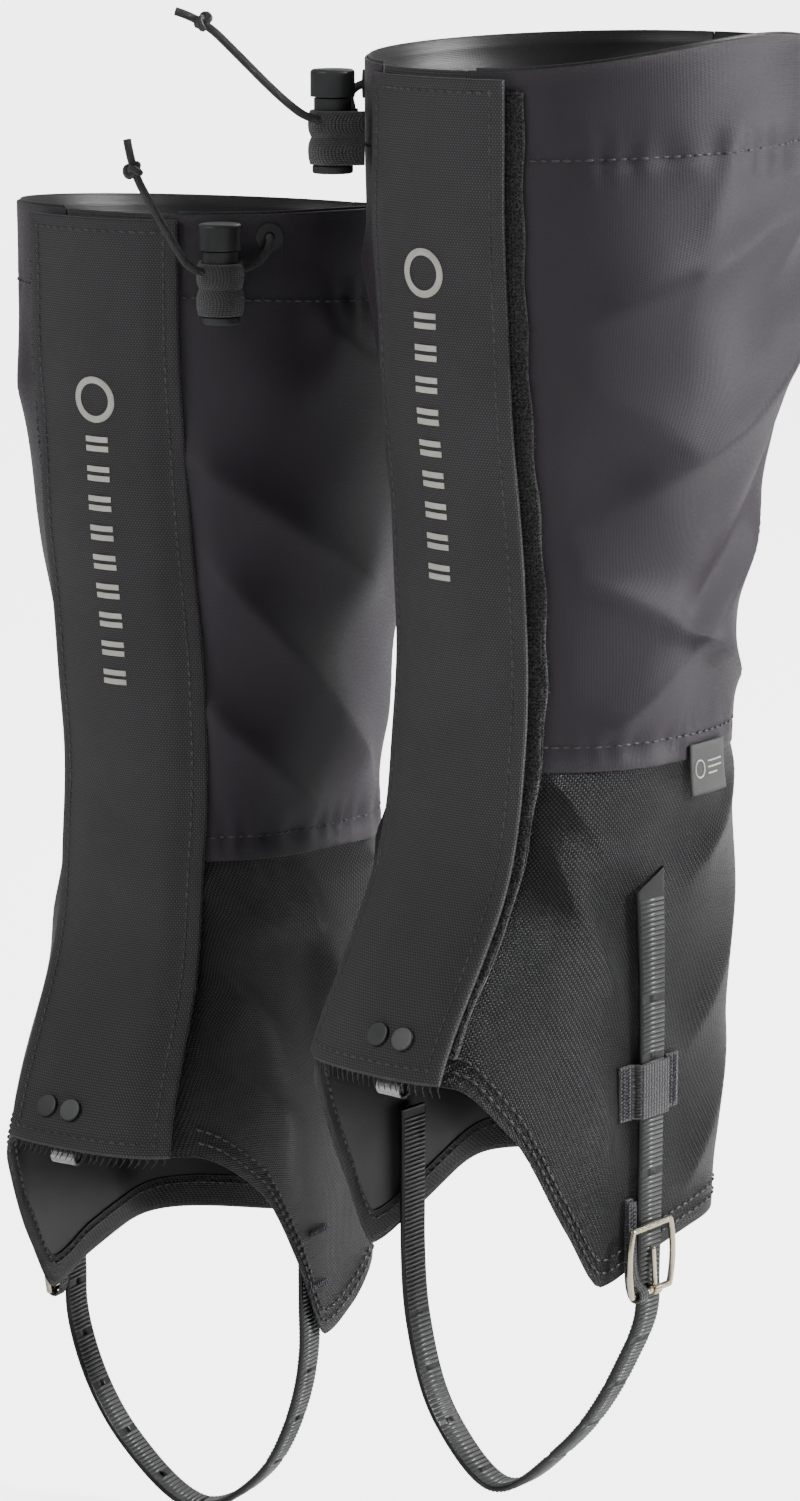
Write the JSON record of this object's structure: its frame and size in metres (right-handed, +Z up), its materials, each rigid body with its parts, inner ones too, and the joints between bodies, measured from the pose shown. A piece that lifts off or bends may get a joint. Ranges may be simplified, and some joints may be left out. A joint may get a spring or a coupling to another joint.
{
  "type": "pair of trekking gaiters",
  "caption": "Pair of tall fabric gaiters with a closing front flap, drawcord tops and buckled straps that pass under the boots.",
  "frame": {"origin": "centre of the left gaiter's top opening, at the rim's mean height at the front", "axes": "+Z up the leg, -Y towards the toes, +X towards the left gaiter's outer side"},
  "size_m": [0.3122, 0.1834, 0.5608],
  "materials": {
    "upper_fabric": "brushed soft-shell",
    "lower_fabric": "coarse coated weave",
    "flap_fabric": "fine ribbed pack cloth",
    "lining": "smooth coated lining",
    "loop_pile": "hook-and-loop pile",
    "elastic": "herringbone elastic",
    "webbing": "ribbed webbing",
    "cord": "braided shock cord",
    "embroidery": "satin stitch",
    "label": "folded woven tape",
    "strap": "ribbed moulded strap",
    "lock_plastic": "satin moulded plastic",
    "snap_metal": "dark enamelled metal",
    "nickel": "warm nickel plate",
    "steel": "spring steel"
  },
  "bodies": {
    "left_shell": {"left_upper_outer_panel": "upper_fabric", "left_upper_inner_panel": "upper_fabric", "left_lower_outer_panel": "lower_fabric", "left_lower_inner_panel": "lower_fabric", "left_top_facing": "lining", "left_hem_facing": "lining", "left_placket": "flap_fabric", "left_loop_strip": "loop_pile", "left_snap_studs": "snap_metal", "left_lace_hook": "nickel", "left_lock_barrel": "lock_plastic", "left_lock_spring": "steel", "left_elastic_tab": "elastic", "left_drawcord": "cord", "left_eyelet": "snap_metal", "left_drawcord_tail": "cord", "left_strap_tail": "strap", "left_strap_keeper": "webbing", "left_strap_inner_end": "strap", "left_buckle_tab": "webbing", "left_side_label": "label"},
    "left_flap": {"left_front_flap": "flap_fabric", "left_hook_strip": "loop_pile", "left_flap_mark": "embroidery", "left_snap_caps": "snap_metal"},
    "left_plunger": {"left_lock_plunger": "lock_plastic"},
    "left_buckle": {"left_buckle_frame": "nickel"},
    "left_prong": {"left_buckle_prong": "nickel"},
    "left_loop": {"left_strap_loop": "strap"},
    "right_shell": {"right_upper_outer_panel": "upper_fabric", "right_upper_inner_panel": "upper_fabric", "right_lower_outer_panel": "lower_fabric", "right_lower_inner_panel": "lower_fabric", "right_top_facing": "lining", "right_hem_facing": "lining", "right_placket": "flap_fabric", "right_loop_strip": "loop_pile", "right_snap_studs": "snap_metal", "right_lace_hook": "nickel", "right_lock_barrel": "lock_plastic", "right_lock_spring": "steel", "right_elastic_tab": "elastic", "right_drawcord": "cord", "right_eyelet": "snap_metal", "right_drawcord_tail": "cord", "right_strap_tail": "strap", "right_strap_keeper": "webbing", "right_strap_inner_end": "strap", "right_buckle_tab": "webbing", "right_side_label": "label"},
    "right_flap": {"right_front_flap": "flap_fabric", "right_hook_strip": "loop_pile", "right_flap_mark": "embroidery", "right_snap_caps": "snap_metal"},
    "right_plunger": {"right_lock_plunger": "lock_plastic"},
    "right_buckle": {"right_buckle_frame": "nickel"},
    "right_prong": {"right_buckle_prong": "nickel"},
    "right_loop": {"right_strap_loop": "strap"}
  },
  "joints": [
    {"name": "left_flap_hinge", "type": "hinge", "parent": "left_shell", "child": "left_flap", "pos_m": [-0.0385, -0.06, 0], "axis": [0, 0.0333, -0.9994], "range_deg": [0, 65]},
    {"name": "left_plunger_slide", "type": "slide", "parent": "left_shell", "child": "left_plunger", "axis": [0, 0, -1], "range_m": [0, 0.004], "stiffness_N_per_m": 800, "springref_m": -0.003, "deforming": ["left_lock_spring"]},
    {"name": "left_buckle_hinge", "type": "hinge", "parent": "left_shell", "child": "left_buckle", "pos_m": [0.05531, -0.027, -0.411], "axis": [0, 1, 0], "range_deg": [0, 70]},
    {"name": "left_prong_hinge", "type": "hinge", "parent": "left_buckle", "child": "left_prong", "pos_m": [0.05531, -0.027, -0.411], "axis": [0, 1, 0], "range_deg": [0, 90]},
    {"name": "left_strap_swing", "type": "hinge", "parent": "left_shell", "child": "left_loop", "pos_m": [0.05201, -0.027, -0.418], "axis": [1, 0, 0], "range_deg": [-60, 60]},
    {"name": "right_flap_hinge", "type": "hinge", "parent": "right_shell", "child": "right_flap", "pos_m": [-0.1255, -0.06, -0.054], "axis": [0, -0.0333, 0.9994], "range_deg": [0, 65]},
    {"name": "right_plunger_slide", "type": "slide", "parent": "right_shell", "child": "right_plunger", "axis": [0, 0, -1], "range_m": [0, 0.004], "stiffness_N_per_m": 800, "springref_m": -0.003, "deforming": ["right_lock_spring"]},
    {"name": "right_buckle_hinge", "type": "hinge", "parent": "right_shell", "child": "right_buckle", "pos_m": [-0.21441, -0.03532, -0.465], "axis": [0.1564, -0.9877, 0], "range_deg": [0, 70]},
    {"name": "right_prong_hinge", "type": "hinge", "parent": "right_buckle", "child": "right_prong", "pos_m": [-0.21441, -0.03532, -0.465], "axis": [0.1564, -0.9877, 0], "range_deg": [0, 90]},
    {"name": "right_strap_swing", "type": "hinge", "parent": "right_shell", "child": "right_loop", "pos_m": [-0.21115, -0.0348, -0.472], "axis": [0.9877, 0.1564, 0], "range_deg": [-60, 60]},
    {"name": "right_gaiter_slide", "type": "slide", "parent": "left_shell", "child": "right_shell", "axis": [1, 0, 0], "range_m": [-0.2, 0]}
  ]
}
